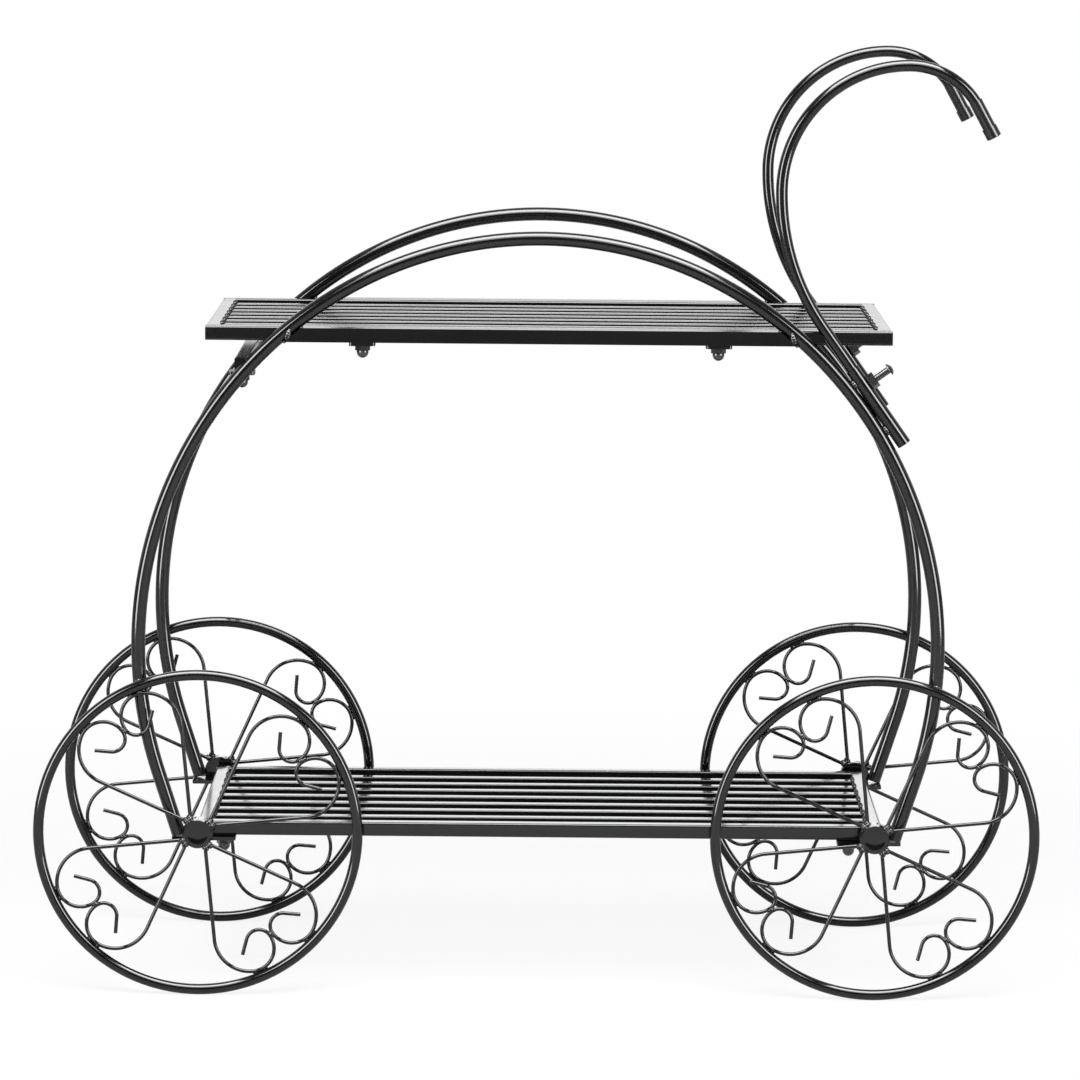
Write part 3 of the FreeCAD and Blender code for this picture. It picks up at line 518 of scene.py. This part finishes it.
def chord_welds(sign):
    """Round both ends of a chord rail: above, below and on its two faces."""
    plane = sign * ARCH_Y
    halfway = UPPER_SEAT + RAIL / 2
    places = []
    for direction in SIDES.values():
        for height in (UPPER_SEAT + RAIL, UPPER_SEAT):
            x = direction * arch_x(height, -TUBE_RADIUS)
            places.append(((x, plane, height), (0, 1, 0), *CHORD_EDGE_BEAD))
        x = direction * arch_x(halfway, -CHORD_BEAD_INSET)
        for face in (-1, 1):
            spot = (x, plane + face * CHORD_BEAD_DEPTH, halfway)
            places.append((spot, (CHORD_BEAD_LEAN * direction, 0, -1), *CHORD_FACE_BEAD))
    return places


def socket_welds(sign):
    """In the grooves between a socket and its hoop, at both ends of their contact."""
    upward = Vector((-math.sin(HANDLE_ANGLE), 0, math.cos(HANDLE_ANGLE)))
    foot = joint_point(TUBE_RADIUS)
    places = []
    for rise in (SOCKET_BEAD_RISE, -SOCKET_BEAD_RISE):
        for face in (-1, 1):
            y = sign * ARCH_Y + face * SOCKET_BEAD_DEPTH
            places.append((Vector((foot.x, y, foot.y)) + upward * rise, upward, *SOCKET_BEAD))
    return places


def rim_crossing(line, centre):
    """The place and heading at which a hoop passes over the rod of a rim."""
    target = WHEEL_RADIUS - ROD_RADIUS
    for (first, heading), (second, _) in zip(line, line[1:]):
        before = math.hypot(first.x - centre.x, first.y - centre.z) - target
        after = math.hypot(second.x - centre.x, second.y - centre.z) - target
        if before * after <= 0 and first.y > centre.z:
            return first + (second - first) * before / (before - after), heading
    raise ValueError("no hoop crosses this rim")


def rim_welds(depth, side):
    """In the corners where a rim's rod crosses its hoop."""
    centre = middle("%s_%s_rim" % (depth, side))
    spot, heading = rim_crossing(arch_line(), centre)
    along = Vector((math.cos(heading), 0, math.sin(heading)))
    across = Vector((-along.z, 0, along.x))
    y = DEPTHS[depth] * (ARCH_Y + TUBE_RADIUS)
    return [(Vector((spot.x, y, spot.y)) + along * end * RIM_BEAD_SHIFT, across, *RIM_BEAD)
            for end in (-1, 1)]


def scroll_welds(depth, side):
    """Where a wheel's wires meet the hub, the rim and each other."""
    centre = middle("%s_%s_scrolls" % (depth, side))
    line = [point for point, _ in spoke_line()]
    outermost = max(line, key=lambda point: point.length)
    # past the root, the place nearest the middle line, where a pair of curls meet
    beside = min(line[len(line) // 3:], key=lambda point: abs(point.y))
    tangent = Vector((-outermost.y, outermost.x)).normalized()
    places = []
    for quarter in range(4):
        turn = pair_turn(quarter)
        meeting = wheel_point(centre, quarter, 1, Vector((beside.x, 0)))
        places.append((meeting, (math.cos(turn), 0, math.sin(turn)), *PAIR_BEAD))
        for mirrored in (1, -1):
            for step in (-1, 1):
                place = (outermost + tangent * step * CURL_BEAD_SHIFT) * CURL_BEAD_REACH
                spot = wheel_point(centre, quarter, mirrored, place)
                end = wheel_point(centre, quarter, mirrored, place + tangent)
                places.append((spot, end - spot, *CURL_BEAD))
            root = wheel_point(centre, quarter, mirrored, line[0] * ROOT_BEAD_REACH)
            along = wheel_point(centre, quarter, mirrored, line[0] * ROOT_BEAD_AHEAD) - root
            root.y += DEPTHS[depth] * ROOT_BEAD_LIFT
            places.append((root, along, *ROOT_BEAD))
    return places


def slat_welds(level):
    """On the top and both sides of each slat where it meets an end bar."""
    slat_low, slat_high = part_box(level + "_shelf_slats")
    pitch = (slat_high[1] - slat_low[1] - SLAT_WIDTH) / (SLAT_COUNT - 1)
    places = []
    for x in (slat_low[0], slat_high[0]):
        for index in range(SLAT_COUNT):
            y = slat_low[1] + SLAT_WIDTH / 2 + pitch * index
            for face in (-1, 1):
                top = (x, y + face * SLAT_TOP_SHIFT, slat_high[2] + SLAT_TOP_LIFT)
                places.append((top, (0, 1, 0), *SLAT_TOP_BEAD))
                flank = (x, y + face * SLAT_WIDTH / 2, slat_high[2] - SLAT_SIDE_DROP)
                places.append((flank, (0, 0, 1), *SLAT_SIDE_BEAD))
    return places


for depth, sign in DEPTHS.items():
    beads(depth + "_chord_welds", chord_welds(sign))
    beads(depth + "_socket_welds", socket_welds(sign))
    for side in SIDES:
        beads("%s_%s_rim_welds" % (depth, side), rim_welds(depth, side))
        beads("%s_%s_scroll_welds" % (depth, side), scroll_welds(depth, side))
for level in ("upper", "lower"):
    beads(level + "_slat_welds", slat_welds(level))

# ---------------------------------------------------------------- studio

scene = bpy.context.scene

FLOOR_WIDTH = 200.0
PAPER_WHITE = (0.95, 0.95, 0.95, 1)
SHADOW_REACH = 0.75             # from the middle of the stand
SHADOW_FADE = 0.65              # width of the edge in which the lit paper turns white
SHADOW_SHARE = 0.15             # how much of the lit paper shows beside the stand

FILL_LEVEL = 0.35               # light that the surroundings cast
FRONT_LEVEL = 0.15              # how bright they look in the gloss, in front of the stand
FRONT_EDGE = -0.4               # Y of a direction up to which they look that dim
BACK_EDGE = 0.5                 # Y of a direction from which on they look white


def math_node(tree, operation, first, second):
    node = tree.nodes.new("ShaderNodeMath")
    node.operation = operation
    tree.links.new(first, node.inputs[0])
    tree.links.new(second, node.inputs[1])
    return node.outputs["Value"]


def floor_paper():
    """White paper: fully bright to the camera away from the object, and beside it dim
    enough to keep the shadow."""
    material = bpy.data.materials.new("floor_paper")
    material.use_nodes = True
    tree = material.node_tree
    paper = tree.nodes["Principled BSDF"]
    paper.inputs["Base Color"].default_value = PAPER_WHITE
    paper.inputs["Roughness"].default_value = 0.9
    paper.inputs["Specular IOR Level"].default_value = 0.1
    place = tree.nodes.new("ShaderNodeTexCoord")
    distance = tree.nodes.new("ShaderNodeVectorMath")
    distance.operation = "LENGTH"
    tree.links.new(place.outputs["Object"], distance.inputs[0])
    fade = value_range(tree, distance.outputs["Value"], 1 - SHADOW_SHARE, 1.0,
                       SHADOW_REACH, SHADOW_REACH + SHADOW_FADE)
    path = tree.nodes.new("ShaderNodeLightPath")
    glow = tree.nodes.new("ShaderNodeEmission")
    mix = tree.nodes.new("ShaderNodeMixShader")
    amount = math_node(tree, "MULTIPLY", path.outputs["Is Camera Ray"], fade)
    tree.links.new(amount, mix.inputs["Fac"])
    tree.links.new(paper.outputs["BSDF"], mix.inputs[1])
    tree.links.new(glow.outputs["Emission"], mix.inputs[2])
    tree.links.new(mix.outputs["Shader"], tree.nodes["Material Output"].inputs["Surface"])
    return material


def studio_world():
    """White to the camera. Reflections see it white behind the stand and dim in front."""
    world = bpy.data.worlds.new("studio")
    world.use_nodes = True
    tree = world.node_tree
    background = tree.nodes["Background"]
    background.inputs["Color"].default_value = (1, 1, 1, 1)
    place = tree.nodes.new("ShaderNodeTexCoord")
    parts = tree.nodes.new("ShaderNodeSeparateXYZ")
    tree.links.new(place.outputs["Generated"], parts.inputs["Vector"])
    behind = value_range(tree, parts.outputs["Y"], FRONT_LEVEL, 1.0, FRONT_EDGE, BACK_EDGE)
    path = tree.nodes.new("ShaderNodeLightPath")
    mirrored = math_node(tree, "MAXIMUM", path.outputs["Is Glossy Ray"],
                         path.outputs["Is Transmission Ray"])
    seen = tree.nodes.new("ShaderNodeMix")
    seen.inputs["A"].default_value = FILL_LEVEL
    tree.links.new(mirrored, seen.inputs["Factor"])
    tree.links.new(behind, seen.inputs["B"])
    shown = tree.nodes.new("ShaderNodeMix")
    shown.inputs["B"].default_value = 1.0
    tree.links.new(path.outputs["Is Camera Ray"], shown.inputs["Factor"])
    tree.links.new(seen.outputs["Result"], shown.inputs["A"])
    tree.links.new(shown.outputs["Result"], background.inputs["Strength"])
    return world


def softbox(name, place, target, size, power, gloss_only=False):
    """A rectangular studio light that faces a point, out of the camera's sight."""
    lamp = bpy.data.lights.new(name, "AREA")
    lamp.shape = "RECTANGLE"
    lamp.size, lamp.size_y = size
    lamp.energy = power
    item = bpy.data.objects.new(name, lamp)
    item.location = place
    facing = Vector(target) - Vector(place)
    item.rotation_euler = facing.to_track_quat("-Z", "Y").to_euler()
    item.visible_camera = False
    item.visible_diffuse = not gloss_only
    scene.collection.objects.link(item)


corner = FLOOR_WIDTH / 2
floor_mesh = bpy.data.meshes.new("floor")
floor_mesh.from_pydata([(-corner, -corner, 0), (corner, -corner, 0), (corner, corner, 0),
                        (-corner, corner, 0)], [], [(0, 1, 2, 3)])
floor_mesh.materials.append(floor_paper())
floor = bpy.data.objects.new("floor", floor_mesh)
scene.collection.objects.link(floor)

scene.world = studio_world()

STAND_MIDDLE = (0, 0, 0.4)
softbox("front_softbox", (0, -2.0, 2.7), STAND_MIDDLE, (3.0, 1.6), 120)
softbox("backdrop", (0, 12.0, 3.4), (0, 0, 3.4), (8.0, 2.5), 120)
softbox("top_card", (0, -0.9, 3.0), STAND_MIDDLE, (3.0, 1.6), 360, gloss_only=True)
softbox("left_card", (-2.0, -1.7, 1.0), STAND_MIDDLE, (1.0, 2.2), 138, gloss_only=True)
softbox("right_card", (2.0, -1.7, 1.0), STAND_MIDDLE, (1.0, 2.2), 138, gloss_only=True)

# ---------------------------------------------------------------- camera

CAMERA_PLACE = Vector((0.00086, -4.57791, 0.99334))
CAMERA_PITCH = math.radians(7.7187)     # looking down
CAMERA_YAW = math.radians(0.001)
CAMERA_ROLL = math.radians(0.5032)
SENSOR = 36.0
FOCAL_SHARE = 4.9074                    # focal length over frame width

ahead = Vector((math.sin(CAMERA_YAW) * math.cos(CAMERA_PITCH),
                math.cos(CAMERA_YAW) * math.cos(CAMERA_PITCH), -math.sin(CAMERA_PITCH)))
unrolled = Vector((math.cos(CAMERA_YAW), -math.sin(CAMERA_YAW), 0))
upright = unrolled.cross(ahead)
across = unrolled * math.cos(CAMERA_ROLL) + upright * math.sin(CAMERA_ROLL)
upright = upright * math.cos(CAMERA_ROLL) - unrolled * math.sin(CAMERA_ROLL)
lens = bpy.data.cameras.new("camera")
lens.sensor_width = SENSOR
lens.lens = SENSOR * FOCAL_SHARE
camera = bpy.data.objects.new("camera", lens)
turn = Matrix((across, upright, -ahead)).transposed().to_4x4()
camera.matrix_world = Matrix.Translation(CAMERA_PLACE) @ turn
scene.collection.objects.link(camera)
scene.camera = camera
scene.view_settings.view_transform = "Standard"
